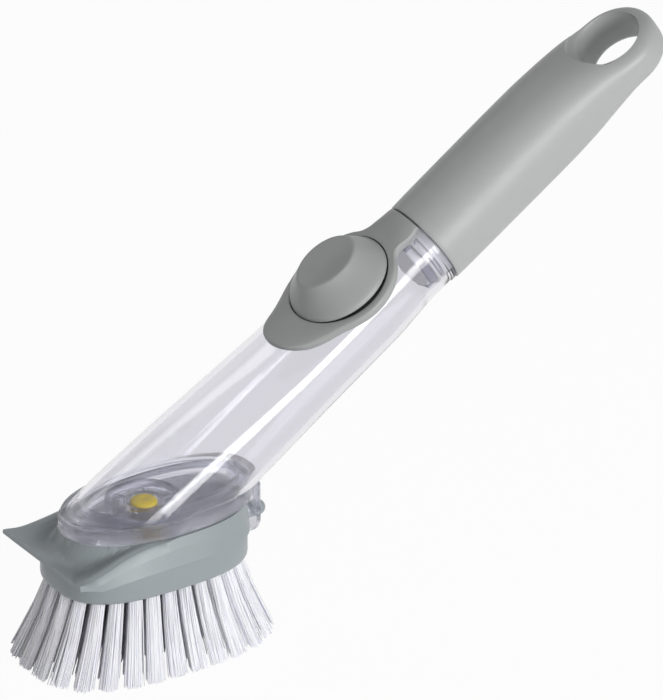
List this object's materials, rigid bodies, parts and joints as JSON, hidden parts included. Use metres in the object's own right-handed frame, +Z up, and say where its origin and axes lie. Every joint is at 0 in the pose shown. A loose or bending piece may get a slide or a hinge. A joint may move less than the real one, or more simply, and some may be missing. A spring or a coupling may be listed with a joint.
{
  "type": "dish wand",
  "caption": "Soap-dispensing dish wand: clear slanted reservoir with a thumb pump, a screw-on hanging grip and a slide-off scraper head with fanned bristles.",
  "frame": {"origin": "centre of the soap outlet, on the flat seat where a head meets the reservoir's foot plate", "axes": "+X from the scraper towards the grip, +Y sideways, +Z up from the bristles; the reservoir and grip rise 32 degrees from +X towards +Z"},
  "size_m": [0.2684, 0.0644, 0.1929],
  "materials": {
    "clear_plastic": "polished clear plastic",
    "grip_grey": "fine matte, soft to the hand",
    "head_grey": "satin moulded",
    "silicone": "translucent, matte",
    "valve_yellow": "soft, satin",
    "white_plastic": "moulded",
    "bristle_nylon": "translucent white monofilament",
    "spring_steel": "bright wire"
  },
  "bodies": {
    "reservoir": {"tank_tube": "clear_plastic", "tank_base": "clear_plastic", "valve_ring": "clear_plastic", "saddle": "grip_grey", "pump_cup": "white_plastic", "pump_bellows": "silicone", "bellows_ring": "white_plastic", "pump_spring": "spring_steel"},
    "neck_collar": {"neck_gasket": "silicone"},
    "grip": {"handle_shell": "grip_grey", "handle_plug": "white_plastic", "plug_seal": "silicone"},
    "button": {"button_cap": "grip_grey", "button_plunger": "white_plastic"},
    "valve": {"outlet_valve": "valve_yellow"},
    "head": {"brush_shell": "head_grey", "bristle_block": "head_grey", "inlet_seal": "silicone", "soap_duct": "white_plastic", "tufts_outer": "bristle_nylon", "tufts_middle": "bristle_nylon", "tufts_inner": "bristle_nylon"}
  },
  "joints": [
    {"name": "handle_rise", "type": "slide", "parent": "reservoir", "child": "neck_collar", "axis": [0.848, 0, 0.5299], "range_m": [0, 0.006]},
    {"name": "handle_turn", "type": "hinge", "parent": "neck_collar", "child": "grip", "pos_m": [0.11958, 0, 0.07472], "axis": [0.848, 0, 0.5299], "range_deg": [0, 540]},
    {"name": "pump_press", "type": "slide", "parent": "reservoir", "child": "button", "axis": [0.5299, 0, -0.848], "range_m": [0, 0.003], "stiffness_N_per_m": 800, "springref_m": -0.001, "deforming": ["pump_spring", "pump_bellows"]},
    {"name": "valve_lift", "type": "slide", "parent": "reservoir", "child": "valve", "axis": [0, 0, -1], "range_m": [0, 0.0005], "stiffness_N_per_m": 200, "springref_m": -0.0005},
    {"name": "head_release", "type": "slide", "parent": "reservoir", "child": "head", "axis": [-1, 0, 0], "range_m": [0, 0.009]}
  ],
  "couplings": [
    {"joint": "handle_turn", "follows": "handle_rise", "rad_per_m": 1570.8}
  ]
}
